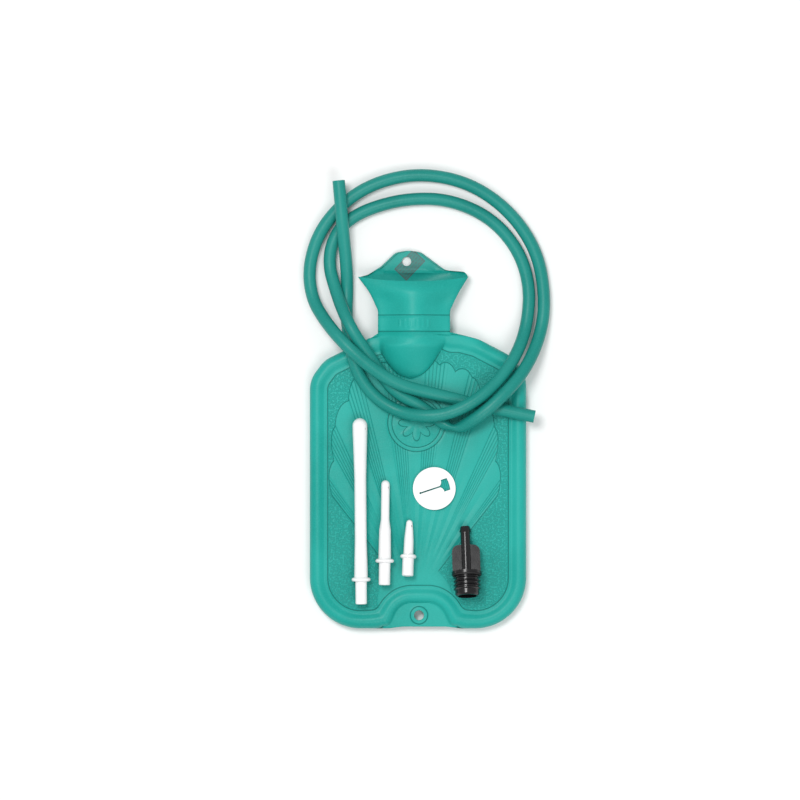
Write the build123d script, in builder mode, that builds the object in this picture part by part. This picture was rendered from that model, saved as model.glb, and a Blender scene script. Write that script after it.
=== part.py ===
"""Rubber water bag kit: a two-litre moulded rubber bag with a funnel mouth, its screw stopper,
a screw hose adapter, a rubber hose, a pinch clamp and three nozzles, laid out flat.

Frame: millimetres, +Z up. The bag lies on its back on the plane z = 0, its neck points along +Y,
and the origin is the centre of the bag's footprint.
"""

import os
from math import atan2, cos, radians, sin, tan

from build123d import *

os.makedirs("parts", exist_ok=True)

# ---------------------------------------------------------------- driving dimensions
BAG_WIDTH = 200.0
BAG_LENGTH = 350.0  # from the bottom edge to the top of the hanging tab
BAG_THICKNESS = 16.0  # across the rolled rim
ROLL_WIDTH = 15.2  # from the bag's outline to the recessed panel
PANEL_RECESS = 1.5
WALL = 2.3
EDGE_ROUND = 7.2

NECK_SHIFT = -3.7  # the neck stands a little left of the bag's middle
NECK_HALF_WIDTH = 33.4
NECK_HALF_HEIGHT = 17.2
NECK_RIB = 0.6  # how far the ribs stand out of the neck
NECK_FOOT_Y = 94.0
NECK_TOP_Y = 118.0
FLARE = 0.58  # how fast the funnel widens along Y
FUNNEL_BEND_Y = 140.0  # where the funnel starts to close down to its flat mouth
FUNNEL_END_Y = 158.0
MOUTH_HALF_HEIGHT = 8.2
FUNNEL_THROAT_HALF_WIDTH = 21.0  # inside, where the funnel meets the bushing
LIP_FRONT_Y = 144.5
LIP_BACK_Y = 155.0
TONGUE_TIP_Y = 54.0

BUSHING_R = 14.6
BUSHING_BORE_R = 12.6
BUSHING_LENGTH = 19.5
THREAD_CREST_R = 12.52
THREAD_ROOT_R = 11.2
THREAD_PITCH = 3.5

HANG_HOLE_R = 4.25
HANG_HOLE_AT = (-10.6, 163.0)
TAB_THICKNESS = 2.5
EYELET_R = 4.5
EYELET_RING_R = 7.8
EYELET_AT = (0.9, -162.8)
WEB_THICKNESS = 5.0

HOSE_D = 11.5
HOSE_BORE_D = 8.0
REST_GAP = 0.3  # between a loose piece and what it lies on

# ---------------------------------------------------------------- derived sizes
HALF_W = BAG_WIDTH / 2
BOTTOM_Y = -BAG_LENGTH / 2
TOP_Y = BAG_LENGTH / 2
MID_Z = BAG_THICKNESS / 2
PANEL_Z = BAG_THICKNESS - PANEL_RECESS
CAVITY_LOW_Z = PANEL_RECESS + WALL
CAVITY_HIGH_Z = PANEL_Z - WALL
AXIS_Z = NECK_HALF_HEIGHT + NECK_RIB  # height of the neck's axis
REST_Z = PANEL_Z + REST_GAP


def across(y):
    """The plane square to the neck at this y, with its own x along +X and its own y along +Z."""
    return Plane(origin=(0, y, 0), x_dir=(1, 0, 0), z_dir=(0, -1, 0))


def funnel_half_width(y):
    """Half the width of the neck and funnel at this y."""
    return NECK_HALF_WIDTH + FLARE * max(0.0, y - NECK_TOP_Y)


# ---------------------------------------------------------------- the bag's outlines
SHOULDER_Y = 80.6
pouch_corners = [
    ((33, BOTTOM_Y), 12),
    ((HALF_W, BOTTOM_Y), 52),
    ((HALF_W, SHOULDER_Y), 56),
    ((30, 94.5), 10),
    ((-30, 94.5), 10),
    ((-HALF_W, SHOULDER_Y), 56),
    ((-HALF_W, BOTTOM_Y), 52),
    ((-33, BOTTOM_Y), 12),
    ((-13, -150), 13),
    ((13, -150), 13),
]


def pouch_outline():
    """The pouch seen from above, with the notch for the bottom web."""
    with BuildSketch(mode=Mode.PRIVATE) as outline:
        with BuildLine():
            FilletPolyline(
                *[corner for corner, _ in pouch_corners],
                radius=[r for _, r in pouch_corners],
                close=True,
            )
        make_face()
    return outline.sketch


def tongue_outline():
    """The smooth tongue that runs from the neck down onto the front panel."""
    with BuildSketch(mode=Mode.PRIVATE) as outline:
        with BuildLine():
            FilletPolyline(
                (-48, 96), (-48, 88), (-14, 53), (8, 53), (26, 88), (26, 96),
                radius=[6, 12, 9, 6],
            )
            Line((26, 96), (-48, 96))
        make_face()
    return outline.sketch


def oval(y, half_width, half_height, z):
    """An oval across the neck's axis."""
    with BuildSketch(across(y), mode=Mode.PRIVATE) as section:
        with Locations((NECK_SHIFT, z)):
            Ellipse(half_width, half_height)
    return section.sketch


def funnel_oval(y, half_height, inset=0.0):
    """The funnel's section at this y, level with the neck's back; the inset gives its inside."""
    return oval(y, funnel_half_width(y) - inset, half_height - inset, half_height + NECK_RIB)


# ---------------------------------------------------------------- the bag, before it is split in two
def make_bag():
    """The whole moulding: pouch, neck, funnel, hanging tab and bottom web, hollow inside."""
    with BuildPart() as bag:
        with BuildSketch():
            add(pouch_outline())
        extrude(amount=BAG_THICKNESS)
        rims = bag.faces().filter_by(Axis.Z).edges()
        fillet(rims, radius=EDGE_ROUND)

        # the patterned panels are recessed inside the rolled rim, front and back
        for height, into in ((BAG_THICKNESS, -1), (0, 1)):
            with BuildSketch(Plane.XY.offset(height)):
                add(offset(pouch_outline(), -ROLL_WIDTH, kind=Kind.ARC, mode=Mode.PRIVATE))
                add(tongue_outline(), mode=Mode.SUBTRACT)
            extrude(amount=into * PANEL_RECESS, mode=Mode.SUBTRACT)

        # throat, neck and funnel
        neck_foot = oval(NECK_FOOT_Y, NECK_HALF_WIDTH, NECK_HALF_HEIGHT, AXIS_Z)
        loft([oval(TONGUE_TIP_Y, 13, 7.4, MID_Z), neck_foot])
        loft([neck_foot, oval(NECK_TOP_Y, NECK_HALF_WIDTH, NECK_HALF_HEIGHT, AXIS_Z)])
        funnel_bend = funnel_oval(FUNNEL_BEND_Y, NECK_HALF_HEIGHT)
        loft([oval(NECK_TOP_Y, NECK_HALF_WIDTH, NECK_HALF_HEIGHT, AXIS_Z), funnel_bend])
        loft([funnel_bend, funnel_oval(FUNNEL_END_Y, MOUTH_HALF_HEIGHT)])

        # the funnel's lips: the front one is shorter than the back one
        with BuildSketch(Plane.YZ.offset(-HALF_W)):
            with BuildLine():
                Polyline(
                    (LIP_FRONT_Y, 2 * NECK_HALF_HEIGHT + 1), (LIP_BACK_Y, -1),
                    (TOP_Y + 20, -1), (TOP_Y + 20, 2 * NECK_HALF_HEIGHT + 1),
                    close=True,
                )
            make_face()
        extrude(amount=BAG_WIDTH, mode=Mode.SUBTRACT)

        # the water space in the pouch
        with BuildSketch(Plane.XY.offset(CAVITY_LOW_Z)):
            add(offset(pouch_outline(), -WALL - 1, kind=Kind.ARC, mode=Mode.PRIVATE))
        extrude(amount=CAVITY_HIGH_Z - CAVITY_LOW_Z, mode=Mode.SUBTRACT)

        # the throat, the bushing's seat and the inside of the funnel
        seat_low = NECK_TOP_Y - 0.5 - BUSHING_LENGTH
        seat_high = NECK_TOP_Y - 0.5
        loft(
            [oval(68, 19, 4.2, MID_Z - 0.2), oval(seat_low, 13.6, 13.6, AXIS_Z)],
            mode=Mode.SUBTRACT,
        )
        loft(
            [oval(seat_low, BUSHING_R, BUSHING_R, AXIS_Z), oval(seat_high, BUSHING_R, BUSHING_R, AXIS_Z)],
            mode=Mode.SUBTRACT,
        )
        inner_bend = funnel_oval(FUNNEL_BEND_Y, NECK_HALF_HEIGHT, WALL)
        loft(
            [oval(seat_high, FUNNEL_THROAT_HALF_WIDTH, NECK_HALF_HEIGHT - WALL, AXIS_Z), inner_bend],
            mode=Mode.SUBTRACT,
        )
        loft([inner_bend, funnel_oval(FUNNEL_END_Y, MOUTH_HALF_HEIGHT, WALL)], mode=Mode.SUBTRACT)

        # the hanging tab carries on from the back lip
        with BuildSketch(Plane.XY.offset(NECK_RIB + 0.3)):
            with BuildLine():
                FilletPolyline(
                    (-38, 150), (-36, 158), (-22, TOP_Y), (1, TOP_Y), (15, 158), (18, 150),
                    radius=[8, 15, 15, 8],
                )
                Line((18, 150), (-38, 150))
            make_face()
            with Locations(HANG_HOLE_AT):
                Circle(HANG_HOLE_R, mode=Mode.SUBTRACT)
        extrude(amount=TAB_THICKNESS)

        # two thin ribs round the neck
        for y in (99.3, 112.4):
            with BuildSketch(across(y + 0.6)):
                with Locations((NECK_SHIFT, AXIS_Z)):
                    Ellipse(NECK_HALF_WIDTH + NECK_RIB, NECK_HALF_HEIGHT + NECK_RIB)
                    Ellipse(NECK_HALF_WIDTH - 1, NECK_HALF_HEIGHT - 1, mode=Mode.SUBTRACT)
            extrude(amount=1.2)

        # the flat web in the bottom notch, with its eyelet
        with BuildSketch(Plane.XY.offset(MID_Z - WEB_THICKNESS / 2)):
            with BuildLine():
                Polyline((-36, BOTTOM_Y + 0.6), (-15, -146), (15, -146), (36, BOTTOM_Y + 0.6), close=True)
            make_face()
        extrude(amount=WEB_THICKNESS)
        with BuildSketch(Plane.XY.offset(MID_Z - WEB_THICKNESS / 2 - 1)):
            with Locations(EYELET_AT):
                Circle(EYELET_RING_R)
        extrude(amount=WEB_THICKNESS + 2)
        with Locations((*EYELET_AT, MID_Z)):
            Hole(radius=EYELET_R)
    return bag.part


def front_space():
    """Everything on the front side of the seam between the two moulded panels."""
    with BuildPart(mode=Mode.PRIVATE) as space:
        with BuildSketch(Plane.YZ.offset(-HALF_W - 5)):
            with BuildLine():
                Polyline(
                    (BOTTOM_Y - 5, MID_Z), (62, MID_Z), (NECK_FOOT_Y, AXIS_Z), (TOP_Y + 5, AXIS_Z),
                    (TOP_Y + 5, 60), (BOTTOM_Y - 5, 60),
                    close=True,
                )
            make_face()
        extrude(amount=BAG_WIDTH + 10)
    return space.part


bag_solid = make_bag()
front_side = front_space()
with BuildPart() as bag_front_panel:
    add(bag_solid)
    add(front_side, mode=Mode.INTERSECT)
with BuildPart() as bag_back_panel:
    add(bag_solid)
    add(front_side, mode=Mode.SUBTRACT)


# ---------------------------------------------------------------- turned pieces
def turned(profile):
    """A solid turned about its own +Z from (radius, height) points that start and end on the axis."""
    with BuildPart(mode=Mode.PRIVATE) as solid:
        with BuildSketch(Plane.XZ):
            with BuildLine():
                Polyline(*profile, close=True)
            make_face()
        revolve(axis=Axis.Z)
    return solid.part


def ring(inner_r, outer_r, low, high):
    """A plain ring about its own +Z."""
    return turned([(inner_r, low), (outer_r, low), (outer_r, high), (inner_r, high)])


def thread_points(low, count):
    """The (radius, height) points of a run of thread ridges, one pitch apart, going up."""
    points = []
    for turn in range(count):
        foot = low + turn * THREAD_PITCH
        points.append((THREAD_ROOT_R, foot))
        points.append((THREAD_CREST_R, foot + 0.9))
        points.append((THREAD_CREST_R, foot + 1.4))
        points.append((THREAD_ROOT_R, foot + 2.3))
    return points


# ---------------------------------------------------------------- threaded bushing, stopper and washer
SEAT_Y = NECK_TOP_Y - 0.5
WASHER_THICKNESS = 1.6
STOPPER_R = 13.6
neck_place = Plane(origin=(NECK_SHIFT, SEAT_Y, AXIS_Z), x_dir=(1, 0, 0), z_dir=(0, 1, 0)).location

with BuildPart() as neck_bushing:
    with Locations(neck_place):
        add(ring(BUSHING_BORE_R, BUSHING_R, -BUSHING_LENGTH, 0))

with BuildPart() as stopper_washer:
    with Locations(neck_place):
        add(ring(THREAD_ROOT_R + 0.2, STOPPER_R, 0, WASHER_THICKNESS))


def make_stopper():
    """The screw stopper: a threaded plug, a round head and a grip across it."""
    head_low = WASHER_THICKNESS
    head_high = head_low + 5.5
    with BuildPart(mode=Mode.PRIVATE) as plug:
        add(turned([
            (0, -17.5), (THREAD_ROOT_R - 1.5, -17.5), *thread_points(-16, 4),
            (THREAD_ROOT_R, head_low), (STOPPER_R, head_low), (STOPPER_R, head_high - 1),
            (STOPPER_R - 1, head_high), (0, head_high),
        ]))
        with BuildSketch(Plane.XY.offset(head_high)):
            SlotOverall(21, 5)
        extrude(amount=6.5)
        with BuildSketch(Plane.XY.offset(-17.5)):
            Circle(7.5)
        extrude(amount=12, mode=Mode.SUBTRACT)
    return plug.part


with BuildPart() as screw_stopper:
    with Locations(neck_place):
        add(make_stopper())


# ---------------------------------------------------------------- pieces that lie on the front panel
def lying(tip_at, end_at, tip_r, tip_height, rim_r, rim_height):
    """Where a turned piece lies when it leans on its tip and on its widest rim.

    Its own +Z runs from its tip to its end, over the two given points of the plan.
    """
    turn = atan2(end_at[1] - tip_at[1], end_at[0] - tip_at[0])
    rise = atan2(rim_r - tip_r, rim_height - tip_height)
    low = REST_Z + tip_r * cos(rise) - tip_height * sin(rise)
    return Plane(
        origin=(*tip_at, low),
        x_dir=(-sin(turn), cos(turn), 0),
        z_dir=(cos(turn) * cos(rise), sin(turn) * cos(rise), sin(rise)),
    ).location


# ---------------------------------------------------------------- screw hose adapter and its washer
BARB_R = 5.4
STEM_R = 4.5
STEM_BORE_R = 2.75
FLANGE_R = 14.0
FLANGE_LOW = 42.5
FLANGE_HIGH = 45.0
BARREL_END = 65.0
BARREL_BORE_R = 8.6
WING_HALF_WIDTH = 12.8
WING_THICKNESS = 3.4
adapter_place = lying((43.2, -81.2), (45.3, -144.6), BARB_R, 4.6, FLANGE_R, FLANGE_LOW)


def make_adapter():
    """Barb, stem, flat wings, flange and threaded barrel, with the water way right through."""
    washer_top = FLANGE_HIGH + 1.2
    with BuildPart(mode=Mode.PRIVATE) as adapter:
        add(turned([
            (0, 0), (STEM_R - 0.3, 0), (BARB_R, 4.6), (STEM_R, 5.6), (STEM_R, FLANGE_LOW),
            (FLANGE_R, FLANGE_LOW), (FLANGE_R, FLANGE_HIGH), (THREAD_ROOT_R, FLANGE_HIGH),
            *thread_points(washer_top + 0.6, 4), (THREAD_ROOT_R, BARREL_END - 1.5),
            (THREAD_ROOT_R - 1.5, BARREL_END), (0, BARREL_END),
        ]))
        with BuildSketch(Plane.XZ.offset(-WING_THICKNESS / 2)):
            with BuildLine():
                FilletPolyline(
                    (-WING_HALF_WIDTH, FLANGE_LOW + 1), (-WING_HALF_WIDTH, 18), (-4, 17),
                    (4, 17), (WING_HALF_WIDTH, 18), (WING_HALF_WIDTH, FLANGE_LOW + 1),
                    radius=[6, 0.3, 0.3, 6],
                )
                Line((WING_HALF_WIDTH, FLANGE_LOW + 1), (-WING_HALF_WIDTH, FLANGE_LOW + 1))
            make_face()
        extrude(amount=WING_THICKNESS)
        with BuildSketch():
            Circle(STEM_BORE_R)
        extrude(amount=BARREL_END, mode=Mode.SUBTRACT)
        with BuildSketch(Plane.XY.offset(FLANGE_HIGH + 1)):
            Circle(BARREL_BORE_R)
        extrude(amount=BARREL_END, mode=Mode.SUBTRACT)
    return adapter.part


with BuildPart() as hose_adapter:
    with Locations(adapter_place):
        add(make_adapter())

with BuildPart() as adapter_washer:
    with Locations(adapter_place):
        add(ring(THREAD_ROOT_R, THREAD_CREST_R + 0.4, FLANGE_HIGH, FLANGE_HIGH + 1.2))


# ---------------------------------------------------------------- the three nozzles
NOZZLE_BORE_R = 2.4
SPIGOT_R = 5.3
NOZZLE_TURN = 37.0  # how far each nozzle has rolled on the bag


def make_nozzle(stations, flange_r, flange_low, length, outlet_height):
    """A nozzle turned from (height, radius) stations, its push-in spigot last.

    Its bore comes up from the spigot to a small cross hole near the rounded tip.
    """
    flange_high = flange_low + 3.4
    tip_r = stations[0][1]
    with BuildPart(mode=Mode.PRIVATE) as nozzle:
        with BuildSketch(Plane.XZ):
            with BuildLine():
                RadiusArc((0, 0), (tip_r, stations[0][0]), -tip_r * 1.05)
                Polyline(
                    *[(r, height) for height, r in stations], (stations[-1][1], flange_low),
                    (flange_r - 1, flange_low), (flange_r, flange_low + 1),
                    (flange_r, flange_high - 1), (flange_r - 1, flange_high),
                    (SPIGOT_R, flange_high), (SPIGOT_R, length - 0.8), (SPIGOT_R - 0.8, length),
                    (0, length), (0, 0),
                )
            make_face()
        revolve(axis=Axis.Z)
        with BuildSketch(Plane.XY.offset(length)):
            Circle(NOZZLE_BORE_R)
        extrude(amount=outlet_height - length, mode=Mode.SUBTRACT)
        with BuildSketch(Plane.YZ.offset(-flange_r)):
            with Locations((0, outlet_height + 1)):
                Circle(1.1)
        extrude(amount=2 * flange_r, mode=Mode.SUBTRACT)
    return Rotation(0, 0, NOZZLE_TURN) * nozzle.part


LONG_NOZZLE_LENGTH = 171.0
MEDIUM_NOZZLE_LENGTH = 96.5
SHORT_NOZZLE_LENGTH = 52.0
long_stations = [(6.6, 6.85), (13, 6.85), (39, 6.0), (57, 5.5), (112, 5.5), (131, 6.0), (145, 6.25)]
medium_stations = [(3.9, 3.95), (36, 3.95), (46, 5.4), (70, 5.8)]
short_stations = [(2.8, 2.95), (10, 3.7), (19, 4.4), (31, 4.6)]

with BuildPart() as long_nozzle:
    with Locations(lying((-53.5, 18.7), (-52.2, -152.3), 6.85, 6.6, 8.7, 147.6)):
        add(make_nozzle(long_stations, 8.7, 146.6, LONG_NOZZLE_LENGTH, 9))

with BuildPart() as medium_nozzle:
    with Locations(lying((-29.9, -38.4), (-30.9, -134.7), 3.95, 3.9, 8.5, 73.6)):
        add(make_nozzle(medium_stations, 8.5, 72.6, MEDIUM_NOZZLE_LENGTH, 6))

with BuildPart() as short_nozzle:
    with Locations(lying((-7.8, -74.9), (-9.6, -126.4), 2.95, 2.8, 7.4, 33.3)):
        add(make_nozzle(short_stations, 7.4, 32.3, SHORT_NOZZLE_LENGTH, 5))


# ---------------------------------------------------------------- the slide clamp for the hose
CLAMP_R = 19.6
CLAMP_THICKNESS = 3.0
CLAMP_AT = (14.9, -46.1)
CLAMP_TURN = 18.4
SLOT_WIDTH = 1.3


def make_clamp():
    """A disc with a keyhole: the hose goes in at the wide end and is pinched in the narrow slot."""
    with BuildPart(mode=Mode.PRIVATE) as clamp:
        with BuildSketch():
            Circle(CLAMP_R)
            with BuildLine():
                upper_side = ThreePointArc((5.4, 0.6), (7.1, 2.2), (8, 5.6))
                upper_end = Line(upper_side @ 1, (13.6, 5.6))
                far_side = ThreePointArc(upper_end @ 1, (14.2, 0), (13.6, -5.6))
                lower_end = Line(far_side @ 1, (8, -5.6))
                lower_side = ThreePointArc(lower_end @ 1, (7.1, -2.2), (5.4, -0.6))
                Line(lower_side @ 1, upper_side @ 0)
            make_face(mode=Mode.SUBTRACT)
            with Locations((-4, 0)):
                Rectangle(19, SLOT_WIDTH, mode=Mode.SUBTRACT)
            with Locations((-13.4, 0)):
                Circle(0.95, mode=Mode.SUBTRACT)
        extrude(amount=CLAMP_THICKNESS)
        chamfer(clamp.edges().filter_by(GeomType.CIRCLE).sort_by(SortBy.RADIUS)[-2:], length=0.5)
    return clamp.part


with BuildPart() as pinch_clamp:
    with Locations(Location((*CLAMP_AT, REST_Z), (0, 0, CLAMP_TURN))):
        add(make_clamp())


# ---------------------------------------------------------------- the loose rubber hose
# From the end that lies on the loops at the upper left, two and a half turns round the neck,
# to the end that sticks out over the bag's right edge. It folds sharply once, at the lowest point.
hose_route = [
    (-73, 237, 18.5), (-71, 215, 19), (-69, 190, 18.3), (-66, 162, 10), (-65, 137, 6.2), (-66, 115, 10.2),
    (-64, 96, 18.8), (-61, 78, 24), (-54, 56, 22.6), (-38, 36, 22.2), (-17, 24, 23.5), (6, 20, 34.3),
    (30, 23, 35.3), (54, 35, 35), (76, 55, 28), (92, 79, 17.5), (101, 107, 6.8), (103, 141, 6.2),
    (92, 175, 6.2), (66, 204, 6.2), (29, 220, 6.2), (-9, 221, 6.2), (-45, 212, 6.2), (-69, 198, 6.2),
    (-80, 179, 6.2), (-82, 158, 6.2), (-76, 137, 12.5), (-69, 117, 24), (-60, 98, 31.5), (-48, 80, 27.3),
    (-36, 62, 22.2), (-21, 42, 22), (6, 28, 22), (32, 6, 22), (53, 18, 34), (76, 37, 35.5), (99, 63, 24),
    (114, 98, 7.5), (117, 133, 6.2), (109, 174, 6.2), (84, 210, 6.2), (48, 235, 6.2), (6, 244, 6.2),
    (-33, 238, 6.2), (-65, 221, 6.2), (-90, 193, 6.2), (-101, 159, 6.2), (-98, 129, 9.5), (-85, 107, 23),
    (-68, 87, 36), (-45, 66, 36.2), (-20, 50, 34), (6, 43, 26), (31, 37, 22), (57, 30, 22.3), (83, 25, 22),
    (107, 20, 22.2),
]


def bend_radii(route):
    """The largest radius that each inner point's two runs allow."""
    points = [Vector(*point) for point in route]
    radii = []
    for before, here, after in zip(points, points[1:], points[2:]):
        half_turn = radians((here - before).get_angle(after - here)) / 2
        shorter = min((here - before).length, (after - here).length)
        radii.append(0.45 * shorter / tan(half_turn))
    return radii


radii = bend_radii(hose_route)
print("hose radii in diameters:", [round(r / HOSE_D, 1) for r in radii])
with BuildPart() as hose:
    with BuildLine():
        hose_line = FilletPolyline(*hose_route, radius=radii)
    with BuildSketch(Plane(origin=hose_line @ 0, z_dir=hose_line % 0)):
        Circle(HOSE_D / 2)
        Circle(HOSE_BORE_D / 2, mode=Mode.SUBTRACT)
    sweep(path=hose_line)
ring_area = 3.14159 * (HOSE_D**2 - HOSE_BORE_D**2) / 4
print("hose length", round(hose_line.length, 1), "volume", round(hose.part.volume),
      "section times length", round(ring_area * hose_line.length))

# ---------------------------------------------------------------- write the pieces
pieces = {
    "bag_front_panel": bag_front_panel, "bag_back_panel": bag_back_panel,
    "neck_bushing": neck_bushing, "screw_stopper": screw_stopper, "stopper_washer": stopper_washer,
    "hose_adapter": hose_adapter, "adapter_washer": adapter_washer, "hose": hose,
    "long_nozzle": long_nozzle, "medium_nozzle": medium_nozzle, "short_nozzle": short_nozzle,
    "pinch_clamp": pinch_clamp,
}
for name, piece in pieces.items():
    piece.part.label = name
    export_step(piece.part, f"parts/{name}.step")
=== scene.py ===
# %% [markdown]
# # A rubber water bag and its kit, laid out flat
#
# The real thing is a two-litre bag moulded from two rubber halves, with a funnel for a mouth and
# a screw stopper inside its neck. Around it lie a long rubber hose, a black screw adapter, a slide
# clamp and three nozzles. The design model gives every place and size, so this lesson only builds
# what the eye sees around it. Blender measures in metres and the real pieces are easier to think
# of in millimetres, so every helper takes millimetres and turns them into metres at the end.

# %% Load the design model
import math

import bpy
import numpy as np
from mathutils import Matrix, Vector


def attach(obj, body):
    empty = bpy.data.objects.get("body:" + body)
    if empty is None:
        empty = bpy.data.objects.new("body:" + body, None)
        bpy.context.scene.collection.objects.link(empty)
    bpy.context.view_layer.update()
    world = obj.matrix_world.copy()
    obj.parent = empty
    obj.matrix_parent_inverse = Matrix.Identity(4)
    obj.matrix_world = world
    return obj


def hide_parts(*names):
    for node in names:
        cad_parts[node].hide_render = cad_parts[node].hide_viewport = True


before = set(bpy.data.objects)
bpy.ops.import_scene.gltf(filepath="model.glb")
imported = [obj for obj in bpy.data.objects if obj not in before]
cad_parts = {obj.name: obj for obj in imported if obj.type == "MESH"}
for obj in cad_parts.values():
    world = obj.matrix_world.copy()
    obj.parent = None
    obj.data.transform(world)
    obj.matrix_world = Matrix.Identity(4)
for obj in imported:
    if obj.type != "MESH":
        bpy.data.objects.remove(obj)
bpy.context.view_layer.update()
MM = 0.001

# %% [markdown]
# ## Camera
#
# A long lens from far away keeps the hose, which lies higher than the floor, from growing
# towards the edge of the view.

# %% The camera
VIEW_CENTRE = (-16.6, 35.3)
VIEW_WIDTH = 737.3
CAMERA_HEIGHT = 7000.0

camera_data = bpy.data.cameras.new("camera")
camera_data.sensor_width = 36.0
camera_data.lens = 36.0 * CAMERA_HEIGHT / VIEW_WIDTH
camera_data.clip_end = 20.0
camera = bpy.data.objects.new("camera", camera_data)
camera.location = (VIEW_CENTRE[0] * MM, VIEW_CENTRE[1] * MM, CAMERA_HEIGHT * MM)
bpy.context.scene.collection.objects.link(camera)
bpy.context.scene.camera = camera
print("lens", round(camera_data.lens, 1), "mm")

# %% [markdown]
# ## Small helpers for meshes
#
# A numpy array of points becomes an object here. Everything is deselected before an operator
# runs, because an operator works on all that is selected.


# %% Mesh helpers
def deselect_all():
    for item in bpy.context.selected_objects:
        item.select_set(False)


def only(piece):
    """Makes one object the selected and active one."""
    deselect_all()
    piece.select_set(True)
    bpy.context.view_layer.objects.active = piece


def mesh_piece(name, points, faces):
    """An object from points in millimetres and lists of corner numbers."""
    mesh = bpy.data.meshes.new(name)
    mesh.from_pydata([tuple(p) for p in np.asarray(points, float) * MM], [], faces)
    mesh.update()
    piece = bpy.data.objects.new(name, mesh)
    bpy.context.scene.collection.objects.link(piece)
    return piece


def smooth(piece, angle=40):
    only(piece)
    bpy.ops.object.shade_smooth_by_angle(angle=math.radians(angle))


def point_outwards(piece):
    only(piece)
    bpy.ops.object.mode_set(mode="EDIT")
    bpy.ops.mesh.select_all(action="SELECT")
    bpy.ops.mesh.normals_make_consistent(inside=False)
    bpy.ops.object.mode_set(mode="OBJECT")


print("mesh helpers ready")

# %% [markdown]
# ## Shader sockets as numbers
#
# A material's maths reads best when it is written as maths. This class wraps one socket, and each
# operator on it adds the Math node that does the work.


# %% A socket that can be added and multiplied
class Wave:
    def __init__(self, tree, socket):
        self.tree, self.socket = tree, socket

    def math(self, operation, *others, clamp=False):
        node = self.tree.nodes.new("ShaderNodeMath")
        node.operation, node.use_clamp = operation, clamp
        for slot, value in enumerate((self, *others)):
            if isinstance(value, Wave):
                self.tree.links.new(value.socket, node.inputs[slot])
            else:
                node.inputs[slot].default_value = value
        return Wave(self.tree, node.outputs[0])

    def __add__(self, other):
        return self.math("ADD", other)

    def __sub__(self, other):
        return self.math("SUBTRACT", other)

    def __mul__(self, other):
        return self.math("MULTIPLY", other)

    def __rsub__(self, other):
        return (self * -1.0) + other

    __radd__, __rmul__ = __add__, __mul__

    def ramp(self, low, high):
        """0 below low and 1 above high, with a soft rise between."""
        node = self.tree.nodes.new("ShaderNodeMapRange")
        node.interpolation_type = "SMOOTHSTEP"
        self.tree.links.new(self.socket, node.inputs["Value"])
        node.inputs["From Min"].default_value = low
        node.inputs["From Max"].default_value = high
        return Wave(self.tree, node.outputs[0])


class Recipe:
    """A material being built: its tree, its shader and the nodes that feed it."""

    def __init__(self, name, **sockets):
        self.material = bpy.data.materials.new(name)
        self.material.use_nodes = True
        self.tree = self.material.node_tree
        self.shader = self.tree.nodes["Principled BSDF"]
        for socket, value in sockets.items():
            self.shader.inputs[socket.replace("_", " ")].default_value = value
        self.place = self.tree.nodes.new("ShaderNodeTexCoord").outputs["Object"]

    def node(self, kind, settings=None, **sockets):
        """Any node: its settings are set first, then its sockets, by value or by link."""
        made = self.tree.nodes.new(kind)
        for key, value in (settings or {}).items():
            setattr(made, key, value)
        for key, value in sockets.items():
            socket = made.inputs[key.replace("_", " ")]
            if isinstance(value, Wave):
                self.tree.links.new(value.socket, socket)
            elif hasattr(value, "links"):
                self.tree.links.new(value, socket)
            else:
                socket.default_value = value
        return made

    def noise(self, scale, detail=2.0, roughness=0.5):
        """Noise over the piece; scale is in lumps per metre."""
        made = self.node("ShaderNodeTexNoise", Vector=self.place, Scale=scale, Detail=detail,
                         Roughness=roughness)
        return Wave(self.tree, made.outputs[0])

    def blend(self, amount, first, second):
        """A colour between two colours."""
        made = self.node("ShaderNodeMix", {"data_type": "RGBA"})
        self.tree.links.new(amount.socket, made.inputs["Factor"])
        for socket, colour in zip([made.inputs[6], made.inputs[7]], (first, second)):
            if hasattr(colour, "links"):
                self.tree.links.new(colour, socket)
            else:
                socket.default_value = (*colour, 1.0)
        return made.outputs[2]

    def feed(self, socket, value):
        self.tree.links.new(value.socket if isinstance(value, Wave) else value,
                            self.shader.inputs[socket])

    def bump(self, height, distance, strength=1.0):
        made = self.node("ShaderNodeBump", Height=height, Distance=distance, Strength=strength)
        self.feed("Normal", made.outputs["Normal"])


def wear(piece, material):
    """Gives a piece one material all over."""
    piece.data.materials.clear()
    piece.data.materials.append(material)


print("shader helpers ready")

# %% [markdown]
# ## The rubber
#
# Moulded rubber is never one colour: it is a little cloudy, a little dusty, and duller where
# hands have been. Two scales of noise shift the colour and the roughness, and a very fine grain
# breaks up the highlight. The two rubbers differ: the hose is extruded and slightly greyer.


# %% Rubber materials
def rubber(name, deep, pale, rough, grain_depth):
    recipe = Recipe(name, Metallic=0.0, IOR=1.42, Specular_IOR_Level=0.32)
    cloud = recipe.noise(14, 3).ramp(0.30, 0.72)
    speck = recipe.noise(900, 2).ramp(0.35, 0.75)
    colour = recipe.blend(cloud, deep, pale)
    paler = tuple(min(1.0, c * 1.18 + 0.01) for c in pale)
    colour = recipe.blend(speck * 0.35, colour, paler)
    recipe.feed("Base Color", colour)
    recipe.feed("Roughness", rough + 0.10 * cloud - 0.05 * speck)
    recipe.bump(recipe.noise(1600, 2) + 0.6 * recipe.noise(260, 2), grain_depth)
    return recipe.material


hose_rubber = rubber("hose_rubber", deep=(0.006, 0.215, 0.182), pale=(0.014, 0.265, 0.226),
                     rough=0.36, grain_depth=0.00008)
# The inside of the hose is the same rubber painted darker: painted shade inside the bore.
bore_painted_shade = rubber("hose_bore_rubber", deep=(0.015, 0.110, 0.095), pale=(0.020, 0.140, 0.120),
                     rough=0.6, grain_depth=0.00005)
print("rubber materials made")

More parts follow.
